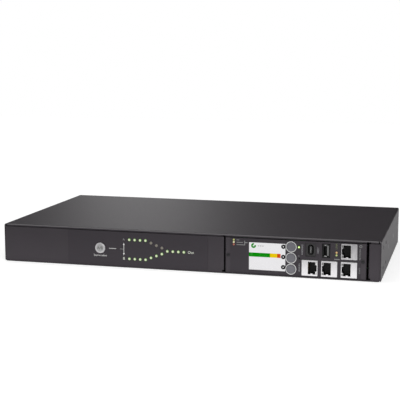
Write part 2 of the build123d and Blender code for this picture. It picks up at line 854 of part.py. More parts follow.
with BuildPart() as lcd_holder:
    with BuildSketch(wall_plane(front_inner + lcd_depth)):
        with Locations((lcd_x, panel_z)):
            Rectangle(lcd_width, lcd_height)
            Rectangle(lcd_width - 2 * holder_wall, lcd_height - 2 * holder_wall, mode=Mode.SUBTRACT)
    extrude(amount=-(module_depth - lcd_depth))
save_piece(lcd_holder, "lcd_holder")


def jack_opening(x, z, latch_side):
    """Draw a jack's opening: the plug's rectangle, then two steps for its latch."""
    contact_wall = x - latch_side * jack_contact_offset
    step_start = contact_wall + latch_side * jack_main_depth
    latch_start = step_start + latch_side * jack_step_depth
    with Locations((contact_wall + latch_side * jack_main_depth / 2, z)):
        Rectangle(jack_main_depth, jack_main_height)
    with Locations((step_start + latch_side * jack_step_depth / 2, z)):
        Rectangle(jack_step_depth, jack_step_height)
    with Locations((latch_start + latch_side * jack_latch_depth / 2, z)):
        Rectangle(jack_latch_depth, jack_latch_height)


def jack_light_openings(x, z, latch_side, clearance):
    """Draw the two lights in the latch corners of a jack."""
    light_x = x + latch_side * (jack_width / 2 - jack_light_edge - jack_light_width / 2)
    light_rise = (jack_main_height - jack_light_height) / 2
    with Locations((light_x, z + light_rise), (light_x, z - light_rise)):
        Rectangle(jack_light_width + 2 * clearance, jack_light_height + 2 * clearance)


jack_depth = controller_y - overlay_y
insert_gap = 2 * (jack_shell + jack_insert_clearance)
for jack_name, (jack_x, jack_z, latch_side) in jack_places.items():
    # Folded metal shield, open towards the board
    with BuildPart() as jack_shield:
        with BuildSketch(wall_plane(overlay_y)):
            with Locations((jack_x, jack_z)):
                Rectangle(jack_width, jack_height)
        extrude(amount=-jack_depth)
        offset(amount=-jack_shell, openings=jack_shield.faces().sort_by(Axis.Y)[-1])
        with BuildSketch(wall_plane(overlay_y)):
            jack_opening(jack_x, jack_z, latch_side)
            jack_light_openings(jack_x, jack_z, latch_side, jack_insert_clearance)
            spring_x = jack_x + latch_side * (jack_main_depth / 2 - jack_contact_offset)
            with Locations((spring_x, jack_z - jack_main_height / 2)):
                Rectangle(
                    jack_spring_width, jack_spring_height, align=(Align.CENTER, Align.MIN), mode=Mode.SUBTRACT
                )
        extrude(amount=-jack_shell, mode=Mode.SUBTRACT)
    save_piece(jack_shield, f"{jack_name}_shield")
    # Moulded insert that fills the shield round the plug's space
    with BuildPart() as jack_insert:
        with BuildSketch(wall_plane(overlay_y + jack_shell)):
            with Locations((jack_x, jack_z)):
                Rectangle(jack_width - insert_gap, jack_height - insert_gap)
        extrude(amount=-(jack_depth - jack_shell))
        with BuildSketch(wall_plane(overlay_y + jack_shell)):
            jack_opening(jack_x, jack_z, latch_side)
        extrude(amount=-jack_cavity, mode=Mode.SUBTRACT)
        with BuildSketch(wall_plane(overlay_y + jack_shell)):
            jack_light_openings(jack_x, jack_z, latch_side, jack_insert_clearance)
        extrude(amount=-jack_light_depth, mode=Mode.SUBTRACT)
    save_piece(jack_insert, f"{jack_name}_insert")

# Link lights of the jacks, flush with their shields
with BuildPart() as jack_lights:
    with BuildSketch(wall_plane(overlay_y)):
        for jack_x, jack_z, latch_side in jack_places.values():
            jack_light_openings(jack_x, jack_z, latch_side, 0)
    extrude(amount=-(jack_shell + jack_light_depth))
save_piece(jack_lights, "jack_lights")

# Eight contacts along one wall of each jack
with BuildPart() as jack_contacts:
    with BuildSketch(wall_plane(overlay_y + jack_shell + contact_recess)):
        for jack_x, jack_z, latch_side in jack_places.values():
            contact_x = jack_x + latch_side * (contact_thickness / 2 - jack_contact_offset)
            with Locations((contact_x, jack_z)):
                with GridLocations(0, contact_pitch, 1, contact_count):
                    Rectangle(contact_thickness, contact_width)
    extrude(amount=-contact_length)
save_piece(jack_contacts, "jack_contacts")

# Console port: a moulded bezel between the plate and the board, an oval shell and its tongue
console_y = front_y + console_recess
with BuildPart() as console_bezel:
    with BuildSketch(wall_plane(front_inner)):
        with Locations(console_point):
            bezel_rim = 2 * console_bezel_rim
            Rectangle(console_frame_width + bezel_rim, console_frame_height + bezel_rim)
            SlotOverall(console_hole_height, console_hole_width, rotation=90, mode=Mode.SUBTRACT)
    extrude(amount=-module_depth)
save_piece(console_bezel, "console_bezel")

console_inner_width = console_shell_width - 2 * port_shell
console_inner_height = console_shell_height - 2 * port_shell
with BuildPart() as console_shell:
    with BuildSketch(wall_plane(console_y)):
        with Locations(console_point):
            SlotOverall(console_shell_height, console_shell_width, rotation=90)
            SlotOverall(console_inner_height, console_inner_width, rotation=90, mode=Mode.SUBTRACT)
    extrude(amount=-(controller_y - console_y))
save_piece(console_shell, "console_shell")

tongue_gap = 2 * jack_insert_clearance
with BuildPart() as console_tongue:
    with BuildSketch(wall_plane(controller_y)):
        with Locations(console_point):
            SlotOverall(console_inner_height - tongue_gap, console_inner_width - tongue_gap, rotation=90)
    extrude(amount=port_base)
    with BuildSketch(wall_plane(controller_y - port_base)):
        with Locations(console_point):
            Rectangle(console_tongue_width, console_tongue_height)
    extrude(amount=controller_y - port_base - console_y - tongue_recess)
save_piece(console_tongue, "console_tongue")

# Host port: a folded shell and its tongue, which lies towards positive X
host_inner_width = host_width - 2 * port_shell
host_inner_height = host_height - 2 * port_shell
with BuildPart() as host_shell:
    with BuildSketch(wall_plane(overlay_y)):
        with Locations(host_point):
            Rectangle(host_width, host_height)
            Rectangle(host_inner_width, host_inner_height, mode=Mode.SUBTRACT)
    extrude(amount=-jack_depth)
save_piece(host_shell, "host_shell")

with BuildPart() as host_tongue:
    with BuildSketch(wall_plane(controller_y)):
        with Locations(host_point):
            Rectangle(host_inner_width - tongue_gap, host_inner_height - tongue_gap)
    extrude(amount=port_base)
    with BuildSketch(wall_plane(controller_y - port_base)):
        tongue_x = host_point[0] + host_inner_width / 2 - host_tongue_gap - host_tongue_width / 2
        with Locations((tongue_x, host_point[1])):
            Rectangle(host_tongue_width, host_tongue_height)
    extrude(amount=jack_depth - port_base - tongue_recess)
save_piece(host_tongue, "host_tongue")


def coupler_face(width, height):
    """Upright mains coupler outline, with its two earth-side corners cut off."""
    with BuildSketch() as outline:
        Rectangle(width, height)
        chamfer(outline.vertices().group_by(Axis.X)[-1], coupler_corner)
    return outline.sketch


inlet_face = coupler_face(inlet_width, inlet_height)
outlet_face = coupler_face(outlet_width, outlet_height)
outlet_core_face = coupler_face(outlet_core_width, outlet_core_height)

# Mains inlets: a flanged body with a deep recess round three pins
for inlet_name, inlet_x in inlet_places.items():
    with BuildPart() as inlet:
        with BuildSketch(wall_plane(rear_y)):
            with Locations((inlet_x, coupler_z)):
                Rectangle(inlet_body_width, inlet_body_height)
        extrude(amount=coupler_depth)
        with BuildSketch(wall_plane(rear_y)):
            with Locations((inlet_x, coupler_z)):
                RectangleRounded(inlet_flange_width, inlet_body_height + 2 * inlet_rim, inlet_rim)
        extrude(amount=-inlet_flange)
        with BuildSketch(wall_plane(rear_y + inlet_flange)):
            with Locations((inlet_x, coupler_z)):
                add(inlet_face)
        extrude(amount=inlet_recess, mode=Mode.SUBTRACT)
        with BuildSketch(wall_plane(coupler_front)):
            with Locations(*contact_points(inlet_x)):
                Rectangle(pin_width, pin_thickness)
        extrude(amount=-coupler_depth, mode=Mode.SUBTRACT)
    save_piece(inlet, inlet_name)

with BuildPart() as inlet_pins:
    with BuildSketch(wall_plane(coupler_front)):
        for inlet_x in inlet_places.values():
            with Locations(*contact_points(inlet_x)):
                Rectangle(pin_width, pin_thickness)
    extrude(amount=-(coupler_depth + inlet_flange - inlet_recess + pin_reach))
    chamfer(inlet_pins.edges().group_by(Axis.Y)[-1], pin_tip)
save_piece(inlet_pins, "inlet_pins")

# Outlet blocks: four upright sockets moulded side by side, each a core inside a groove
for block_index, block_x in enumerate(outlet_blocks):
    block_centres = [(block_x + step, coupler_z) for step in outlet_steps]
    with BuildPart() as outlet_block:
        with BuildSketch(wall_plane(rear_y)):
            with Locations((block_x, coupler_z)):
                Rectangle(outlet_body_width, outlet_body_height)
        extrude(amount=coupler_depth)
        with BuildSketch(wall_plane(rear_y)):
            with Locations((block_x, coupler_z)):
                RectangleRounded(outlet_block_width, outlet_body_height + 2 * outlet_rim, outlet_rim)
        extrude(amount=-outlet_flange)
        with BuildSketch(wall_plane(rear_y + outlet_flange)):
            with Locations(*block_centres):
                add(outlet_face)
                add(outlet_core_face, mode=Mode.SUBTRACT)
        extrude(amount=outlet_groove_depth, mode=Mode.SUBTRACT)
        with BuildSketch(wall_plane(rear_y + outlet_flange)):
            for step in outlet_steps:
                with Locations(*contact_points(block_x + step)):
                    Rectangle(slot_width, slot_height)
        extrude(amount=coupler_depth + outlet_flange, mode=Mode.SUBTRACT)
    save_piece(outlet_block, f"outlet_block_{block_index + 1}")

with BuildPart() as outlet_strips:
    with BuildSketch(wall_plane(coupler_front)):
        for outlet_x in outlet_places:
            for strip_x, slot_z in contact_points(outlet_x):
                with Locations((strip_x, slot_z - (slot_height - strip_thickness) / 2)):
                    Rectangle(strip_width, strip_thickness)
    extrude(amount=-(coupler_depth - strip_recess))
save_piece(outlet_strips, "outlet_strips")

# Board that the inlets and outlets are soldered to
with BuildPart() as socket_board:
    with BuildSketch(wall_plane(coupler_front)):
        with Locations((0, coupler_z)):
            socket_board_half = tray_half - sheet - socket_board_side
            Rectangle(2 * socket_board_half, ceiling - sheet - 2 * socket_board_edge)
    extrude(amount=board)
save_piece(socket_board, "socket_board")

# Relay board on standoffs above the floor
with BuildPart() as power_board:
    with BuildSketch(Plane.XY.offset(power_z)):
        with Locations((0, power_y)):
            Rectangle(2 * power_half, power_length)
        with Locations(*power_screw_points):
            Circle(board_screw_radius + thread_clearance, mode=Mode.SUBTRACT)
    extrude(amount=board)
save_piece(power_board, "power_board")

with BuildPart() as power_standoffs:
    with BuildSketch(Plane.XY.offset(sheet)):
        with Locations(*power_screw_points):
            RegularPolygon(standoff_radius, 6)
    extrude(amount=power_standoff)
    with BuildSketch(Plane.XY.offset(power_z)):
        with Locations(*power_screw_points):
            Circle(board_screw_radius + thread_clearance)
    extrude(amount=-standoff_bore_depth, mode=Mode.SUBTRACT)
save_piece(power_standoffs, "power_standoffs")

# Pan-head screws of the three boards, each with its head on the board
with BuildPart() as board_screws:
    screw_rows = (
        (Plane.XY.offset(power_top), power_screw_points, 1),
        (wall_plane(display_y + board), display_screw_points, -1),
        (wall_plane(controller_y + board), controller_screw_points, -1),
    )
    for screw_plane, points, outward in screw_rows:
        with BuildSketch(screw_plane):
            with Locations(*points):
                Circle(board_screw_head)
        extrude(amount=outward * board_screw_head_height)
        with BuildSketch(screw_plane):
            with Locations(*points):
                Circle(board_screw_radius)
        extrude(amount=-outward * board_screw_length)
save_piece(board_screws, "board_screws")

# Transfer relays, one for the line and one for the neutral of each source
for relay_name, relay_x in relay_rows.items():
    with BuildPart() as relays:
        with BuildSketch(Plane.XY.offset(power_top)):
            with Locations((relay_x, rear_row_y)):
                with GridLocations(relay_pitch, 0, 2, 1):
                    Rectangle(relay_width, relay_length)
        extrude(amount=power_headroom - relay_headroom)
        chamfer(relays.edges().group_by(Axis.Z)[-1], relay_edge)
    save_piece(relays, relay_name)

# Encapsulated transformers that feed the control circuits, one for each source
with BuildPart() as supply_transformers:
    with BuildSketch(Plane.XY.offset(power_top)):
        with Locations(*[(x, rear_row_y) for x in transformer_places]):
            Rectangle(transformer_width, transformer_length)
    extrude(amount=power_headroom - transformer_headroom)
    chamfer(supply_transformers.edges().group_by(Axis.Z)[-1], transformer_edge)
save_piece(supply_transformers, "supply_transformers")

# Ring-core filter chokes, lying flat
with BuildPart() as filter_chokes:
    with BuildSketch(Plane.XY.offset(power_top)):
        with Locations(*[(x, front_row_y) for x in choke_places]):
            Circle(choke_radius)
            Circle(choke_bore, mode=Mode.SUBTRACT)
    extrude(amount=choke_height)
    chamfer(filter_chokes.edges().group_by(Axis.Z)[-1], choke_edge)
save_piece(filter_chokes, "filter_chokes")

# Standing electrolytic capacitors
with BuildPart() as capacitors:
    with BuildSketch(Plane.XY.offset(power_top)):
        with Locations(*[(x, front_row_y) for x in capacitor_places]):
            Circle(capacitor_radius)
    extrude(amount=power_headroom - capacitor_headroom)
    chamfer(capacitors.edges().group_by(Axis.Z)[-1], capacitor_edge)
save_piece(capacitors, "capacitors")

# Copper links from the relay board up to the socket board, in pairs
with BuildPart() as power_links:
    foot_y = power_y_rear - link_foot
    for link_centre in power_link_places:
        for side in (-1, 1):
            with BuildSketch(Plane.YZ.offset(link_centre + side * link_spread)):
                with BuildLine():
                    Polyline(
                        (foot_y, power_top),
                        (socket_board_y, power_top),
                        (socket_board_y, power_top + link_rise),
                        (socket_board_y - link_sheet, power_top + link_rise),
                        (socket_board_y - link_sheet, power_top + link_sheet),
                        (foot_y, power_top + link_sheet),
                        close=True,
                    )
                make_face()
            extrude(amount=link_width / 2, both=True)
    outer_corners = power_links.edges().filter_by(Axis.X).group_by(Axis.Z)[0].group_by(Axis.Y)[-1]
    fillet(outer_corners, link_bend)
save_piece(power_links, "power_links")
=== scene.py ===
"""Looks of a one-unit rack transfer switch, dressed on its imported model."""

import math

import bmesh
import bpy
from mathutils import Matrix, Vector


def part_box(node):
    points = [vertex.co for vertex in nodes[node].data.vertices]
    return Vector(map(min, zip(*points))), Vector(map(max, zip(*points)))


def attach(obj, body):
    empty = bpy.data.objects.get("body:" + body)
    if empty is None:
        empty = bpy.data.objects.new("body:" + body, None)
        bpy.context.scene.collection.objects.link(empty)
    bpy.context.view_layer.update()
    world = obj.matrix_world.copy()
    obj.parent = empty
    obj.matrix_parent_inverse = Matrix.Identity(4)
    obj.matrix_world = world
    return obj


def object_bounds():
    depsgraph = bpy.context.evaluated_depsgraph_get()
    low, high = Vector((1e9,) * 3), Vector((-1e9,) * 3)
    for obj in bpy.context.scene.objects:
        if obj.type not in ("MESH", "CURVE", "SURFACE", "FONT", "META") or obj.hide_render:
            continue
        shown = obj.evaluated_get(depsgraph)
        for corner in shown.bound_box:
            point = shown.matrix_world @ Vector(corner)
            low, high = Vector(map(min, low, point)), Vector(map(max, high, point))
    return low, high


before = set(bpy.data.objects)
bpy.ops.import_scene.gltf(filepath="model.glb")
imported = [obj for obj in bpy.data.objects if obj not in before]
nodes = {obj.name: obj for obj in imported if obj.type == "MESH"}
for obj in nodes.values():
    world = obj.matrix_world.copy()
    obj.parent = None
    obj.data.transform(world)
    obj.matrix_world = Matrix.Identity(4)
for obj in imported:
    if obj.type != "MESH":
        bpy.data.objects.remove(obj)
cad_low, cad_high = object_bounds()


# Case: a tray and a cover folded from 1.2 mm steel sheet and powder coated in satin black.
# The coat has a fine orange peel. The tray's inside is painted near black as painted shade, and the tray
# and the faceplate take lighter copies of the coat as painted light.
class Wire:
    """A socket in a material. Arithmetic on it adds Math nodes, and node() adds any other node."""

    def __init__(self, tree, socket=None):
        self.tree = tree
        self.socket = socket

    def node(self, kind, settings=None, inputs=None, output=0):
        """Add a node: its settings first, then the values or links of its sockets."""
        made = self.tree.nodes.new("ShaderNode" + kind)
        for name, value in (settings or {}).items():
            setattr(made, name, value)
        for name, value in (inputs or {}).items():
            self.feed(made.inputs[name], value)
        return Wire(self.tree, made.outputs[output])

    def feed(self, target, value):
        """Link a wire to a socket, or set a plain value on it."""
        if isinstance(value, Wire):
            self.tree.links.new(value.socket, target)
        else:
            target.default_value = value

    def math(self, operation, first, second):
        """Math node on two wires or plain values."""
        return self.node("Math", {"operation": operation}, {0: first, 1: second})

    def mix(self, factor, low, high):
        """Colour between low and high."""
        return self.node("Mix", {"data_type": "RGBA"}, {0: factor, 6: low, 7: high}, output=2)

    def __add__(self, other):
        return self.math("ADD", self, other)

    def __sub__(self, other):
        return self.math("SUBTRACT", self, other)

    def __rsub__(self, other):
        return self.math("SUBTRACT", other, self)

    def __mul__(self, other):
        return self.math("MULTIPLY", self, other)

    def __gt__(self, other):
        return self.math("GREATER_THAN", self, other)

    def __lt__(self, other):
        return self.math("LESS_THAN", self, other)

    __radd__ = __add__
    __rmul__ = __mul__


def coordinate(wire, axis):
    """Where a point of the surface lies along an axis of the frame, in metres."""
    point = wire.node("TexCoord", output="Object")
    return wire.node("SeparateXYZ", None, {"Vector": point}, output=axis)


def finish(name, **sockets):
    """New material with constant values on its shader; returns the material, its shader and a wire."""
    material = bpy.data.materials.new(name)
    material.use_nodes = True
    shader = material.node_tree.nodes["Principled BSDF"]
    for socket, value in sockets.items():
        shader.inputs[socket.replace("_", " ")].default_value = value
    return material, shader, Wire(material.node_tree)


NOISE_MIDDLE = 0.5
GRAIN_GLOSS = 0.16
GRAIN_HEIGHT = 0.0002
DRIFT_RATIO = 40


def grained(name, colour, roughness, grain, depth, drift=0.08, **sockets):
    """Finish with a fine grain per metre, a soft drift of colour and a gloss that follows the grain."""
    material, shader, wire = finish(name, **sockets)
    place = wire.node("TexCoord", output="Object")
    fine = wire.node("TexNoise", None, {"Vector": place, "Scale": grain, "Detail": 3.0})
    broad = wire.node("TexNoise", None, {"Vector": place, "Scale": grain / DRIFT_RATIO, "Detail": 2.0})
    dark = (*[part * (1 - drift) for part in colour], 1.0)
    light = (*[part * (1 + drift) for part in colour], 1.0)
    wire.feed(shader.inputs["Base Color"], wire.mix(broad, dark, light))
    wire.feed(shader.inputs["Roughness"], (fine - NOISE_MIDDLE) * GRAIN_GLOSS + roughness)
    bump = wire.node("Bump", None, {"Strength": depth, "Distance": GRAIN_HEIGHT, "Height": fine})
    wire.feed(shader.inputs["Normal"], bump)
    return material


def recolour(material, mask, colour):
    """Give a grained finish another colour where the mask is one."""
    wire = Wire(material.node_tree)
    base = material.node_tree.nodes["Principled BSDF"].inputs["Base Color"]
    plain = Wire(material.node_tree, base.links[0].from_socket)
    wire.feed(base, wire.mix(mask, plain, colour))


def dress(material, *names):
    """Give CAD nodes their finish."""
    for name in names:
        nodes[name].material_slots[0].material = material


COAT = (0.0245, 0.0215, 0.0245)
PLUM_GLOSS = (1.0, 0.92, 1.0, 1.0)
# The tray and the faceplate take lighter copies of the cover's coat: painted light on the front.
TRAY_PAINTED_LIGHT = 1.12
PLATE_PAINTED_LIGHT = 1.25


def coat(name, painted_lift=1.0):
    """Powder coat of the case. A lift above one makes a lighter copy of it, as painted light."""
    return grained(
        name, [part * painted_lift for part in COAT], roughness=0.5, grain=1300.0, depth=0.12,
        Specular_IOR_Level=0.24, Specular_Tint=PLUM_GLOSS,
    )


# The tray's inside is painted near black: painted shade that keeps the seams beside the module dark.
INSIDE_DEPTH = 0.0009
INSIDE_SHADE = (0.004, 0.004, 0.004, 1.0)
tray_coat = coat("tray_coat", TRAY_PAINTED_LIGHT)
wire = Wire(tray_coat.node_tree)
shaded_inside = 1.0
for axis, low, high in zip("XYZ", *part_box("base_chassis")):
    along = coordinate(wire, axis)
    shaded_inside = shaded_inside * (along > low + INSIDE_DEPTH) * (along < high - INSIDE_DEPTH)
recolour(tray_coat, shaded_inside, INSIDE_SHADE)
dress(tray_coat, "base_chassis")
dress(coat("plate_coat", PLATE_PAINTED_LIGHT), "module_faceplate")

# Cover: the same coat, with a thin pale line painted along the fold at the front:
# a painted highlight where the sheet was bent over the edge.
FOLD_RADIUS = 0.0018
HIGHLIGHT_SPREAD = 0.00028
FOLD_HIGHLIGHT = (0.10, 0.097, 0.10, 1.0)
cover_coat = coat("cover_coat")
wire = Wire(cover_coat.node_tree)
cover_low, cover_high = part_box("top_cover")
ridge = cover_high.z - cover_low.y - 2 * FOLD_RADIUS + math.sqrt(2) * FOLD_RADIUS
climb = coordinate(wire, "Z") - coordinate(wire, "Y") - (ridge - HIGHLIGHT_SPREAD)
painted_highlight = wire.node("Math", {"operation": "DIVIDE", "use_clamp": True}, {0: climb, 1: HIGHLIGHT_SPREAD})
recolour(cover_coat, painted_highlight, FOLD_HIGHLIGHT)
dress(cover_coat, "top_cover")

# Screws of the cover and of the module: steel blackened in an oxide bath, a little oily.
# The cover's six are countersunk flush, and the module's two are captive pan heads.
black_oxide = grained(
    "black_oxide", (0.012, 0.012, 0.013), roughness=0.38, grain=2600.0, depth=0.1, Metallic=0.6,
)
dress(black_oxide, "cover_screws", "module_screws")

# Overlays: polyester film printed on its back in matt charcoal, glued flat to the steel.
# It is a shade darker than the coat, and its fine texture takes away most of the gloss.
overlay_film = grained(
    "overlay_film", (0.0216, 0.0188, 0.0220), roughness=0.6, grain=3200.0, depth=0.06, drift=0.04,
    Specular_IOR_Level=0.25, Specular_Tint=PLUM_GLOSS,
)
dress(overlay_film, "mimic_overlay", "module_overlay")

# Mimic print: thin ink on the overlay. A line from the button ends in a double arrow between
# the two source rows, with a letter for each source and a word at the output.
MM = 0.001
INK = 0.04
CAPITAL_SHARE = 0.7


def middle(node):
    """Centre of a CAD node in the front plane, in millimetres."""
    low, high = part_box(node)
    return (low.x + high.x) / 2 / MM, (low.z + high.z) / 2 / MM


def front_of(node):
    """Depth of a CAD node's foremost point, in millimetres."""
    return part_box(node)[0].y / MM


def bar(left, low, right, high):
    """Corners of an upright rectangle."""
    return [(left, low), (right, low), (right, high), (left, high)]


def arc(centre, radius, turns):
    """Points at those turns on a circle about a centre."""
    return [(centre[0] + radius * math.cos(turn), centre[1] + radius * math.sin(turn)) for turn in turns]


def circle(centre, radius, steps=40):
    """Points of a circle about a centre."""
    return arc(centre, radius, [2 * math.pi / steps * step for step in range(steps)])


def raise_shape(mesh, surface, outline, hole=None):
    """Add a closed shape of ink that stands on a surface facing the front, and return its faces."""
    rims = []
    for points in (outline, hole or []):
        for level in (surface, surface - INK):
            rims.append([mesh.verts.new((x * MM, level * MM, z * MM)) for x, z in points])
    faces = []
    bands = [(rims[0], rims[1])]
    if hole:
        bands += [(rims[2], rims[3]), (rims[0], rims[2]), (rims[1], rims[3])]
    else:
        faces += [mesh.faces.new(rims[0]), mesh.faces.new(rims[1])]
    for first, second in bands:
        for step in range(len(first)):
            after = (step + 1) % len(first)
            faces.append(mesh.faces.new((first[step], first[after], second[after], second[step])))
    return faces


def letters(text, surface, centre, height, turn):
    """Mesh of plain lettering on the front plane, with capitals of that height."""
    curve = bpy.data.curves.new("lettering", "FONT")
    curve.body = text
    curve.align_x = "CENTER"
    curve.align_y = "CENTER"
    curve.size = height * MM / CAPITAL_SHARE
    curve.extrude = INK * MM / 2
    curve.resolution_u = 3
    carrier = bpy.data.objects.new("lettering", curve)
    mesh = bpy.data.meshes.new_from_object(carrier)
    bpy.data.objects.remove(carrier)
    place = Matrix.Translation((centre[0] * MM, (surface - INK / 2) * MM, centre[1] * MM))
    mesh.transform(place @ Matrix.Rotation(math.pi / 2, 4, "X") @ Matrix.Rotation(turn, 4, "Z"))
    return mesh


def printed(name, body, surface, marks, words=()):
    """One printed piece: marks are (ink, outline, hole) and words (ink, text, centre, height, turn)."""
    mesh = bmesh.new()
    inks = list(dict.fromkeys(mark[0] for mark in [*marks, *words]))
    for colour, *shape in marks:
        for face in raise_shape(mesh, surface, *shape):
            face.material_index = inks.index(colour)
    for colour, text, *place in words:
        before = len(mesh.faces)
        mesh.from_mesh(letters(text, surface, *place))
        mesh.faces.ensure_lookup_table()
        for face in mesh.faces[before:]:
            face.material_index = inks.index(colour)
    bmesh.ops.recalc_face_normals(mesh, faces=mesh.faces)
    data = bpy.data.meshes.new(name)
    mesh.to_mesh(data)
    mesh.free()
    for colour in inks:
        data.materials.append(colour)
    piece = bpy.data.objects.new(name, data)
    bpy.context.scene.collection.objects.link(piece)
    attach(piece, body)


def ink(name, colour):
    """Printing ink, a little uneven where the screen laid it."""
    return grained(name, colour, roughness=0.55, grain=4000.0, depth=0.03)


white_ink = ink("white_ink", (0.58, 0.58, 0.57))
grey_ink = ink("grey_ink", (0.17, 0.17, 0.17))
pale_ink = ink("pale_ink", (0.54, 0.57, 0.49))
LEVEL = 0.0
LAMP_REACH = 2.1
LETTER_GAP = 4.4
DASH_START = 10.4
DASH_END = 18.9
STUB_LENGTH = 4.6
LINE_HALF = 0.24
ARROW_GAP = 3.9
ARROW_HALF = 1.0
ARROW_LENGTH = 2.3
DIM_LETTER = 2.6
BRIGHT_LETTER = 2.9
OUTPUT_GAP = 5.9
OUTPUT_HEIGHT = 3.0
SELECT_DROP = 8.5
SELECT_HEIGHT = 2.05
overlay_front = front_of("mimic_overlay")
button_x, panel_z = middle("preference_button")
lamp_low, lamp_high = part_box("mimic_lamps_lit")
upper_row = lamp_high.z / MM - LAMP_REACH
lower_row = lamp_low.z / MM + LAMP_REACH
letter_x = lamp_low.x / MM - LETTER_GAP
output_x = lamp_high.x / MM + OUTPUT_GAP
shaft_low = lower_row + ARROW_GAP + ARROW_LENGTH
shaft_high = upper_row - ARROW_GAP - ARROW_LENGTH
line_low = panel_z - LINE_HALF
line_high = panel_z + LINE_HALF
mimic_marks = [
    (white_ink, bar(button_x + DASH_START, line_low, button_x + DASH_END, line_high)),
    (grey_ink, bar(letter_x - STUB_LENGTH, line_low, letter_x - LINE_HALF, line_high)),
    (white_ink, bar(letter_x - LINE_HALF, shaft_low, letter_x + LINE_HALF, shaft_high)),
]
for foot, heading in ((shaft_high, 1), (shaft_low, -1)):
    tip = (letter_x, foot + heading * ARROW_LENGTH)
    mimic_marks.append((white_ink, [(letter_x - ARROW_HALF, foot), (letter_x + ARROW_HALF, foot), tip]))
mimic_words = [
    (grey_ink, "A", (letter_x, upper_row), DIM_LETTER, LEVEL),
    (pale_ink, "B", (letter_x, lower_row), BRIGHT_LETTER, LEVEL),
    (pale_ink, "Out", (output_x, panel_z), OUTPUT_HEIGHT, LEVEL),
    (white_ink, "Source select", (button_x, panel_z - SELECT_DROP), SELECT_HEIGHT, LEVEL),
]
printed("mimic_print", "case", overlay_front, mimic_marks, mimic_words)

# Mimic lamps: clear resin lamps on the display board, with their tips in the overlay's holes.
# A lit one is a pale yellow green on its tip and a deeper green on its slanted rim.
DARK_RESIN = (0.03, 0.03, 0.03, 1.0)
FACES_FRONT = -0.9


def glowing(name, core, rim, strength):
    """Lit resin: its flat tip shows the core colour, and the rest a deeper one."""
    material, shader, wire = finish(name, Base_Color=DARK_RESIN, Roughness=0.3, Emission_Strength=strength)
    normal = wire.node("TexCoord", output="Normal")
    rearward = wire.node("SeparateXYZ", None, {"Vector": normal}, output="Y")
    colour = wire.mix(rearward < FACES_FRONT, (*rim, 1.0), (*core, 1.0))
    wire.feed(shader.inputs["Emission Color"], colour)
    return material


lamp_lit = glowing("lamp_lit", core=(0.70, 0.76, 0.50), rim=(0.07, 0.26, 0.01), strength=0.88)
dress(lamp_lit, "mimic_lamps_lit")
lamp_unlit = grained("lamp_unlit", (0.16, 0.145, 0.12), roughness=0.35, grain=3000.0, depth=0.03)
dress(lamp_unlit, "mimic_lamps_unlit")

# Source button: a moulded cap with a silver lacquer, bright at its rounded rim.
# A printed disc on its face is a shade darker and carries the two source letters.
DISC_RADIUS = 4.2
BUTTON_LETTER = 3.1
button_lacquer = grained(
    "button_lacquer", (0.44, 0.43, 0.44), roughness=0.32, grain=2600.0, depth=0.05, Metallic=0.65,
)
button_disc = ink("button_disc", (0.25, 0.25, 0.25))
button_ink = ink("button_ink", (0.01, 0.01, 0.01))
dress(button_lacquer, "preference_button")
button_centre = (button_x, panel_z)
button_face = front_of("preference_button")
printed(
    "button_print", "preference_button", button_face,
    [(button_disc, circle(button_centre, DISC_RADIUS))],
)
printed(
    "button_letters", "preference_button", button_face - INK, [],
    [(button_ink, "A/B", button_centre, BUTTON_LETTER, LEVEL)],
)

# Keys of the module: three caps in a column, moulded in grey plastic with a fine texture.
# Each slides in a hole of the faceplate and presses a small switch on the board.
KEYS = ("upper_key", "middle_key", "lower_key")
key_plastic = grained("key_plastic", (0.092, 0.090, 0.103), roughness=0.45, grain=2200.0, depth=0.05)
dress(key_plastic, *KEYS)
key_points = [middle(key) for key in KEYS]

# Module print: thin ink on the overlay, with a ring round each key, short marks beside the alarm
# lamps, a black line of painted shadow over three of the jacks, a small ring by the last jack and names
# along the ports.
UPRIGHT = math.pi / 2
RING_INNER = 5.15
RING_OUTER = 5.95
ring_ink = ink("ring_ink", (0.46, 0.46, 0.46))
module_front = front_of("module_overlay")
module_marks = [(ring_ink, circle(point, RING_OUTER), circle(point, RING_INNER)) for point in key_points]

ALARM_PITCH = 2.6
ALARM_MARKS = ((1, 6.2), (0, 10.4), (-1, 11.9))
MARK_START = 3.2
MARK_HALF = 0.35
BRACKET_LEFT = 11.9
BRACKET_RIGHT = 12.7
BRACKET_RISE = 2.2
BRANCH_END = 15.4
BRANCH_HALF = 0.4
alarm_x, alarm_z = middle("alarm_lamps")
for step, reach in ALARM_MARKS:
    level = alarm_z + ALARM_PITCH * step
    mark = bar(alarm_x + MARK_START, level - MARK_HALF, alarm_x + reach, level + MARK_HALF)
    module_marks.append((grey_ink, mark))
bracket_low = alarm_z - ALARM_PITCH - MARK_HALF
bracket = bar(alarm_x + BRACKET_LEFT, bracket_low, alarm_x + BRACKET_RIGHT, alarm_z + BRACKET_RISE)
branch = bar(alarm_x + BRACKET_RIGHT, alarm_z - BRANCH_HALF, alarm_x + BRANCH_END, alarm_z + BRANCH_HALF)
module_marks += [(grey_ink, bracket), (grey_ink, branch)]

SMALL_RING_RIGHT = 12.1
SMALL_RING_RISE = 6.5
SMALL_RING_OUTER = 1.5
SMALL_RING_INNER = 0.9
last_x, last_z = middle("jack_4_shield")
small_ring = (last_x + SMALL_RING_RIGHT, last_z + SMALL_RING_RISE)
module_marks.append((grey_ink, circle(small_ring, SMALL_RING_OUTER), circle(small_ring, SMALL_RING_INNER)))

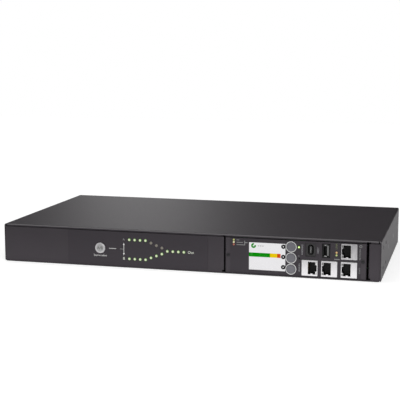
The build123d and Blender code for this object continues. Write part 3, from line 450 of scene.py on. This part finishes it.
# Over jacks one to three a black line is painted: painted shadow of the gap above each jack.
JACK_SHADOW_GAP = 0.4
JACK_SHADOW_HEIGHT = 0.7
jack_shadow_ink = ink("jack_shadow_ink", (0.003, 0.003, 0.003))
for jack in ("jack_1_shield", "jack_2_shield", "jack_3_shield"):
    jack_low, jack_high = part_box(jack)
    jack_shadow_line = jack_high.z / MM + JACK_SHADOW_GAP
    mark = bar(jack_low.x / MM, jack_shadow_line, jack_high.x / MM, jack_shadow_line + JACK_SHADOW_HEIGHT)
    module_marks.append((jack_shadow_ink, mark))

SPECK_RISE = 2.8
SPECK_RADIUS = 0.5
LINK_BAR_LEFT = 2.4
LINK_BAR_RIGHT = 3.4
LINK_BAR_DROP = 5.4
LINK_BAR_HEIGHT = 0.8
status_x = middle("status_lamp")[0]
link_x, link_z = middle("link_lamps")
link_top = link_z - LINK_BAR_DROP
link_bar = bar(link_x - LINK_BAR_LEFT, link_top - LINK_BAR_HEIGHT, link_x + LINK_BAR_RIGHT, link_top)
module_marks.append((grey_ink, circle((status_x, panel_z + SPECK_RISE), SPECK_RADIUS)))
module_marks.append((grey_ink, link_bar))

NAME_HEIGHT = 1.7
SMALL_NAME_HEIGHT = 1.5
LINK_NAME_HEIGHT = 2.1
CONSOLE_NAME_LEFT = 8.9
SENSORS_NAME_RIGHT = 0.7
SENSORS_NAME_DROP = 9.9
HOST_NAME_RIGHT = 8.2
NETWORK_NAME_RIGHT = 11.6
NETWORK_NAME_DROP = 2.0
PORTS_NAME_RIGHT = 11.4
LINK_NAME_RISE = 8.4
olive_ink = ink("olive_ink", (0.10, 0.115, 0.05))
label_ink = ink("label_ink", (0.26, 0.26, 0.27))
console_x, console_z = middle("console_shell")
corner_x, corner_z = middle("jack_3_shield")
sensors_place = (status_x + SENSORS_NAME_RIGHT, panel_z - SENSORS_NAME_DROP)
network_place = (last_x + NETWORK_NAME_RIGHT, last_z - NETWORK_NAME_DROP)
module_words = [
    (label_ink, "CONSOLE", (console_x - CONSOLE_NAME_LEFT, console_z), NAME_HEIGHT, UPRIGHT),
    (label_ink, "SENSORS", sensors_place, SMALL_NAME_HEIGHT, UPRIGHT),
    (label_ink, "HOST", (console_x + HOST_NAME_RIGHT, console_z), NAME_HEIGHT, UPRIGHT),
    (grey_ink, "NETWORK", network_place, NAME_HEIGHT, UPRIGHT),
    (grey_ink, "PORTS", (corner_x + PORTS_NAME_RIGHT, corner_z), SMALL_NAME_HEIGHT, UPRIGHT),
    (olive_ink, "LINK", (link_x, link_z + LINK_NAME_RISE), LINK_NAME_HEIGHT, UPRIGHT),
]
printed("module_print", "case", module_front, module_marks, module_words)

# Lamps of the module: small resin tips for alarms, status and network links, lit from the board.
# The lamps of a group share one finish, in which each has its own colour by its height.
LIT_TIP = 1.0
UNLIT = (0.0, 0.0, 0.0, 1.0)
GROUP_STRENGTH = 0.8


def stacked(name, highest, bands):
    """Resin lit at its tip: the highest lamp's colour, then (top in millimetres, colour) downwards."""
    material, shader, wire = finish(
        name, Base_Color=DARK_RESIN, Roughness=0.3, Emission_Strength=GROUP_STRENGTH,
    )
    height = coordinate(wire, "Z")
    depth = coordinate(wire, "Y")
    colour = (*highest, 1.0)
    for top, lower in bands:
        colour = wire.mix(height < top * MM, colour, (*lower, 1.0))
    tip = wire.mix(depth < (module_front + LIT_TIP) * MM, UNLIT, colour)
    wire.feed(shader.inputs["Emission Color"], tip)
    return material


alarm_bands = [
    (alarm_z + ALARM_PITCH / 2, (0.80, 0.76, 0.46)),
    (alarm_z - ALARM_PITCH / 2, (0.40, 0.09, 0.05)),
]
dress(stacked("alarm_light", (0.50, 0.52, 0.15), alarm_bands), "alarm_lamps")
dress(stacked("link_light", (0.80, 0.48, 0.18), [(link_z, (0.50, 0.60, 0.20))]), "link_lamps")
status_light = glowing("status_light", core=(0.80, 1.0, 0.44), rim=(0.42, 0.75, 0.12), strength=1.5)
dress(status_light, "status_lamp")

# Screen: a lit panel behind a clear window. Its picture is flat colour on the panel: a level bar
# in three shades, an open ring, three text marks, and for each key a dot with a short pointer.
DARK_GLASS = (0.05, 0.05, 0.05, 1.0)
screen_light = finish(
    "screen_light", Base_Color=DARK_GLASS, Roughness=0.4, Specular_IOR_Level=0.1,
    Emission_Color=(0.86, 0.85, 0.87, 1.0), Emission_Strength=0.95,
)[0]
dress(screen_light, "lcd_panel")
dress(finish("window_glass", Base_Color=DARK_GLASS, Roughness=0.06, Alpha=0.05)[0], "display_window")


def screen_colour(name, colour):
    """Flat colour of the lit picture."""
    return finish(
        name, Base_Color=(0.0, 0.0, 0.0, 1.0), Roughness=0.4, Specular_IOR_Level=0.0,
        Emission_Color=(*colour, 1.0), Emission_Strength=0.9,
    )[0]


OPEN_START = 75.0
OPEN_SWEEP = 305.0
OPEN_STEPS = 30


def open_ring(centre, outer, inner):
    """Ring that is open at its upper right, as one outline."""
    turns = [math.radians(OPEN_START + OPEN_SWEEP * step / OPEN_STEPS) for step in range(OPEN_STEPS + 1)]
    return arc(centre, outer, turns) + arc(centre, inner, turns[::-1])


screen_green = screen_colour("screen_green", (0.0, 0.29, 0.0))
screen_yellow = screen_colour("screen_yellow", (0.95, 0.66, 0.0))
screen_orange = screen_colour("screen_orange", (0.75, 0.08, 0.0))
screen_black = screen_colour("screen_black", (0.003, 0.003, 0.003))
screen_grey = screen_colour("screen_grey", (0.55, 0.55, 0.55))
WINDOW_LAP = 0.3
PANEL_MARGIN = 0.2
BAR_DROP = 0.9
BAR_RISE = 3.6
GREEN_END = 23.0
YELLOW_END = 30.8
ORANGE_END = 34.6
window_low, window_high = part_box("display_window")
screen_left = window_low.x / MM + WINDOW_LAP
screen_right = window_high.x / MM - WINDOW_LAP
panel_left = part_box("lcd_panel")[0].x / MM
screen_face = front_of("lcd_panel")
picture = []
left = panel_left + PANEL_MARGIN
for colour, end in ((screen_green, GREEN_END), (screen_yellow, YELLOW_END), (screen_orange, ORANGE_END)):
    picture.append((colour, bar(left, panel_z - BAR_DROP, screen_left + end, panel_z + BAR_RISE)))
    left = screen_left + end

ICON_RIGHT = 4.65
ICON_RISE = 11.3
ICON_OUTER = 2.7
ICON_INNER = 0.9
icon_x = screen_left + ICON_RIGHT
icon_z = panel_z + ICON_RISE
picture.append((screen_green, open_ring((icon_x, icon_z), ICON_OUTER, ICON_INNER)))

TEXT_MARKS = 3
TEXT_START = 9.6
TEXT_PITCH = 2.3
TEXT_WIDTH = 1.5
TEXT_HALF = 0.6
for step in range(TEXT_MARKS):
    left = screen_left + TEXT_START + TEXT_PITCH * step
    picture.append((screen_grey, bar(left, icon_z - TEXT_HALF, left + TEXT_WIDTH, icon_z + TEXT_HALF)))

DOT_RADIUS = 2.45
DOT_HOLE = 0.65
DOT_INSET = 2.4
DOT_RISE = 0.4
DOT_PULL = 0.9
POINTER_HALF = 0.25
key_pitch = key_points[0][1] - key_points[1][1]
dot_x = screen_right - DOT_INSET
for _, key_z in key_points:
    dot_z = key_z + DOT_PULL * (panel_z - key_z) / key_pitch + DOT_RISE
    pointer = bar(dot_x + DOT_RADIUS, dot_z - POINTER_HALF, screen_right, dot_z + POINTER_HALF)
    picture.append((screen_black, circle((dot_x, dot_z), DOT_RADIUS), circle((dot_x, dot_z), DOT_HOLE)))
    picture.append((screen_black, pointer))
printed("screen_picture", "case", screen_face, picture)

# Network jacks: folded shields of tinned steel, with a faint upright grain from the rolling, about
# black moulded inserts with gold-plated contacts. The first jack has paler light pipes.
ROLLED_GRAIN = (3000.0, 3000.0, 60.0)
ROLLED_GLOSS = 0.3
ROLLED_HEIGHT = 0.0001


def rolled(name, colour, roughness):
    """Bare sheet metal with a fine upright grain."""
    material, shader, wire = finish(name, Base_Color=(*colour, 1.0), Metallic=1.0)
    place = wire.node("TexCoord", output="Object")
    along = wire.node("Mapping", None, {"Vector": place, "Scale": ROLLED_GRAIN})
    grain = wire.node("TexNoise", None, {"Vector": along, "Scale": 1.0, "Detail": 2.0})
    wire.feed(shader.inputs["Roughness"], (grain - NOISE_MIDDLE) * ROLLED_GLOSS + roughness)
    bump = wire.node("Bump", None, {"Strength": 0.08, "Distance": ROLLED_HEIGHT, "Height": grain})
    wire.feed(shader.inputs["Normal"], bump)
    return material


JACKS = ("jack_1", "jack_2", "jack_3", "jack_4")
tinned_steel = rolled("tinned_steel", (0.53, 0.52, 0.53), roughness=0.34)
dress(tinned_steel, *[jack + "_shield" for jack in JACKS])
insert_black = grained(
    "insert_black", (0.005, 0.005, 0.005), roughness=0.5, grain=2400.0, depth=0.05, Specular_IOR_Level=0.2,
)
dress(insert_black, *[jack + "_insert" for jack in JACKS])
GREY_PIPE = (0.12, 0.12, 0.115, 1.0)
PALE_PIPE = (0.44, 0.44, 0.43, 1.0)
jack_lens, shader, wire = finish("jack_lens", Roughness=0.3)
first_jack = coordinate(wire, "X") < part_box("jack_1_shield")[1].x
wire.feed(shader.inputs["Base Color"], wire.mix(first_jack, GREY_PIPE, PALE_PIPE))
dress(jack_lens, "jack_lights")
# The gold-plated contacts are painted dark brown: painted shade deep inside the jacks.
dress(rolled("contact_gold", (0.10, 0.075, 0.04), roughness=0.5), "jack_contacts")

# Console and host ports: stamped shells about moulded tongues, the console one behind a bezel in
# charcoal plastic. The shells are black nickel, painted near black inside as painted shade, and two springs
# grip the host's plug.
RIM_DEPTH = 0.3
PORT_SHADE = (0.006, 0.006, 0.006, 1.0)


def edged(name, node, edge, metallic):
    """Paler on the foremost edge of that node, and near black behind it as painted shade inside the port.
    """
    material, shader, wire = finish(name, Roughness=0.4, Metallic=metallic, Specular_IOR_Level=0.2)
    shaded_behind = coordinate(wire, "Y") > (front_of(node) + RIM_DEPTH) * MM
    wire.feed(shader.inputs["Base Color"], wire.mix(shaded_behind, (edge, edge, edge, 1.0), PORT_SHADE))
    dress(material, node)


edged("console_nickel", "console_shell", edge=0.06, metallic=1.0)
edged("host_nickel", "host_shell", edge=0.06, metallic=1.0)
# The console tongue's edge is painted paler than the host's, as painted light against the deeper shade in
# its shell.
edged("console_resin", "console_tongue", edge=0.24, metallic=0.0)
edged("host_resin", "host_tongue", edge=0.13, metallic=0.0)
HOST_WALL = 0.4
SPRING_INSET = 1.5
SPRING_WIDTH = 2.8
SPRING_HEIGHT = 1.0
spring_steel = rolled("spring_steel", (0.34, 0.34, 0.34), roughness=0.36)
host_low, host_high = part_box("host_shell")
spring_left = host_low.x / MM + SPRING_INSET
host_springs = []
for end, inward in ((host_low.z / MM + HOST_WALL, 1), (host_high.z / MM - HOST_WALL, -1)):
    low, high = sorted((end, end + inward * SPRING_HEIGHT))
    host_springs.append((spring_steel, bar(spring_left, low, spring_left + SPRING_WIDTH, high)))
printed("host_springs", "case", front_of("host_shell") + RIM_DEPTH, host_springs)
bezel_plastic = grained(
    "bezel_plastic", (0.020, 0.019, 0.020), roughness=0.6, grain=2400.0, depth=0.05, Specular_IOR_Level=0.3,
)
dress(bezel_plastic, "console_bezel")

# Mains couplers at the rear: inlets and outlet blocks moulded in black polyamide.
# Nickel-plated brass pins stand in the inlets, and strips with the same plating lie in the outlets.
coupler_black = grained("coupler_black", (0.016, 0.016, 0.017), roughness=0.42, grain=1800.0, depth=0.08)
dress(coupler_black, "inlet_a", "inlet_b", "outlet_block_1", "outlet_block_2", "outlet_block_3")
dress(rolled("pin_nickel", (0.60, 0.58, 0.54), roughness=0.3), "inlet_pins", "outlet_strips")

# Inside: green glass-epoxy boards on plated or blackened standoffs, with blue relays, potted
# transformers, copper-wound chokes, sleeved capacitors and bent copper links.
board_laminate = grained("board_laminate", (0.008, 0.045, 0.020), roughness=0.45, grain=1600.0, depth=0.04)
dress(board_laminate, "display_board", "controller_board", "socket_board", "power_board")
plated_steel = rolled("plated_steel", (0.62, 0.61, 0.58), roughness=0.35)
dress(plated_steel, "display_standoffs", "controller_standoffs")
dress(black_oxide, "power_standoffs", "board_screws")
switch_black = grained("switch_black", (0.014, 0.014, 0.014), roughness=0.5, grain=2400.0, depth=0.05)
dress(switch_black, "tact_switches", "lcd_holder", "preference_stem", *[key + "_stem" for key in KEYS])
relay_blue = grained("relay_blue", (0.02, 0.07, 0.22), roughness=0.4, grain=1500.0, depth=0.04)
dress(relay_blue, "relays_source_a", "relays_source_b")
potting_black = grained("potting_black", (0.018, 0.018, 0.020), roughness=0.55, grain=1200.0, depth=0.08)
dress(potting_black, "supply_transformers")
choke_winding = grained(
    "choke_winding", (0.36, 0.13, 0.04), roughness=0.35, grain=900.0, depth=0.25, Metallic=0.7,
)
dress(choke_winding, "filter_chokes")
capacitor_sleeve = grained(
    "capacitor_sleeve", (0.03, 0.03, 0.06), roughness=0.35, grain=1400.0, depth=0.04,
)
dress(capacitor_sleeve, "capacitors")
dress(rolled("link_copper", (0.80, 0.36, 0.18), roughness=0.32), "power_links")

# Floor: a sheet of white paper that keeps a faint shadow of the case. It glows a little where
# it is seen, more so away from the case, so that its far parts run into the white behind.
WHITE = (1.0, 1.0, 1.0, 1.0)
BLACK = (0.0, 0.0, 0.0, 1.0)
FLOOR_REACH = 2.0
FLOOR_DROP = -0.0002
NEAR_TONE = (0.57, 0.57, 0.57, 1.0)
FAR_TONE = (0.80, 0.80, 0.80, 1.0)
SHADOW_REACH = 0.45
FADE = 0.35


def card(name, corners, material):
    """Flat stage piece with those corners, in metres."""
    data = bpy.data.meshes.new(name)
    data.from_pydata(corners, [], [tuple(range(len(corners)))])
    data.materials.append(material)
    piece = bpy.data.objects.new(name, data)
    bpy.context.scene.collection.objects.link(piece)
    return piece


def lying(half, front, back, rise):
    """Corners of a level card between a front and a back edge."""
    return [(-half, front, rise), (half, front, rise), (half, back, rise), (-half, back, rise)]


def seen_directly(wire):
    """One where a ray comes from the camera, a mirror or glass, and nought where it lights a surface."""
    direct = wire.node("LightPath", output="Is Camera Ray")
    mirrored = wire.node("LightPath", output="Is Glossy Ray")
    through = wire.node("LightPath", output="Is Transmission Ray")
    return direct + mirrored + through


white_sweep, shader, wire = finish(
    "white_sweep", Base_Color=(0.60, 0.60, 0.60, 1.0), Roughness=1.0, Specular_IOR_Level=0.0,
    Emission_Strength=1.0,
)
place = wire.node("TexCoord", output="Object")
distance = wire.node("VectorMath", {"operation": "LENGTH"}, {0: place}, output="Value")
far = wire.node("Clamp", None, {"Value": (distance - SHADOW_REACH) * (1 / FADE)})
tone = wire.mix(far, NEAR_TONE, FAR_TONE)
wire.feed(shader.inputs["Emission Color"], wire.mix(seen_directly(wire), BLACK, tone))
card("floor", lying(FLOOR_REACH, -FLOOR_REACH, FLOOR_REACH, FLOOR_DROP), white_sweep)

# Sky: an even white room round the case. It is plain white where it is seen,
# and lights the case at about half that strength.
AMBIENT = 0.55
white_room = bpy.data.worlds.new("white_room")
white_room.use_nodes = True
bpy.context.scene.world = white_room
wire = Wire(white_room.node_tree)
lighting = wire.node("Background", None, {"Color": WHITE, "Strength": AMBIENT})
backdrop = wire.node("Background", None, {"Color": WHITE, "Strength": 1.0})
sky = wire.node("MixShader", None, {0: seen_directly(wire), 1: lighting, 2: backdrop})
wire.feed(white_room.node_tree.nodes["World Output"].inputs["Surface"], sky)

# Flags: black cloths that show only in the gloss of the case. Two stand behind it and keep its top
# dark, apart from a paler band that mirrors the gap between them, and one lies on the floor in front.
FLAG_Y = 3.2
FLAG_TOP = 5.0
FLAG_REACH = 4.0
LEFT_INNER = -1.45
RIGHT_INNER = -0.92
CLOTH_NEAR = cad_low.y - 0.09
CLOTH_FAR = cad_low.y - 1.0
CLOTH_HALF = 0.9
CLOTH_RISE = 0.001
black_cloth = finish("black_cloth", Base_Color=(0.01, 0.01, 0.01, 1.0), Roughness=1.0)[0]


def flag(name, corners):
    """Black cloth that shows in reflections alone."""
    cloth = card(name, corners, black_cloth)
    cloth.visible_camera = False
    cloth.visible_diffuse = False
    cloth.visible_shadow = False


for side, inner, outer in (("left", LEFT_INNER, -FLAG_REACH), ("right", RIGHT_INNER, FLAG_REACH)):
    flag("flag_" + side, [(x, FLAG_Y, z) for x, z in bar(inner, 0.0, outer, FLAG_TOP)])
flag("flag_floor", lying(CLOTH_HALF, CLOTH_NEAR, CLOTH_FAR, CLOTH_RISE))

# Lamps: a broad softbox in front, to the right, and small ones above and behind the case.
# A low lamp on the floor in front faces up and lights the foot of the front.
FOOT_GAP = 0.036
FOOT_RISE = 0.001


def softbox(name, place, aim, size, power):
    """Softbox of that width and height at a place, turned to the point that it lights."""
    light = bpy.data.lights.new(name, "AREA")
    light.energy = power
    light.shape = "RECTANGLE"
    light.size, light.size_y = size
    lamp = bpy.data.objects.new(name, light)
    lamp.location = place
    lamp.rotation_euler = (Vector(aim) - Vector(place)).to_track_quat("-Z", "Y").to_euler()
    bpy.context.scene.collection.objects.link(lamp)
    return lamp


softbox("front_softbox", place=(0.7, -1.8, 0.8), aim=(0.0, 0.0, 0.0), size=(1.2, 1.2), power=25.0)
softbox("top_softbox", place=(-0.35, -0.2, 1.25), aim=(0.0, -0.1, 0.0), size=(0.45, 0.45), power=2.0)
softbox("rear_softbox", place=(-1.05, 3.0, 0.7), aim=(0.0, 0.0, 0.0), size=(0.6, 0.6), power=2.0)
foot_y = cad_low.y - FOOT_GAP
foot_light = softbox(
    "foot_light", place=(0.0, foot_y, FOOT_RISE), aim=(0.0, foot_y, 1.0), size=(0.52, 0.068), power=0.07,
)
# Its turn is given here, so that its long side lies along the front.
foot_light.rotation_euler = (math.pi, 0.0, 0.0)
foot_light.visible_camera = False

# Camera: a long lens a little to the right of the front and above it, as in the photograph.
# Its place and aim were fitted to the corners of the case there, and colours show as they are.
CAMERA_PLACE = Vector((0.3103, -1.2067, 0.2522))
CAMERA_AIM = Vector((0.01825, -0.1175, 0.08062))
FOCAL_LENGTH = 93.84
SENSOR_WIDTH = 36.0
long_lens = bpy.data.cameras.new("camera")
long_lens.lens = FOCAL_LENGTH
long_lens.sensor_width = SENSOR_WIDTH
camera = bpy.data.objects.new("camera", long_lens)
camera.location = CAMERA_PLACE
camera.rotation_euler = (CAMERA_AIM - CAMERA_PLACE).to_track_quat("-Z", "Y").to_euler()
bpy.context.scene.collection.objects.link(camera)
bpy.context.scene.camera = camera
bpy.context.scene.view_settings.view_transform = "Standard"
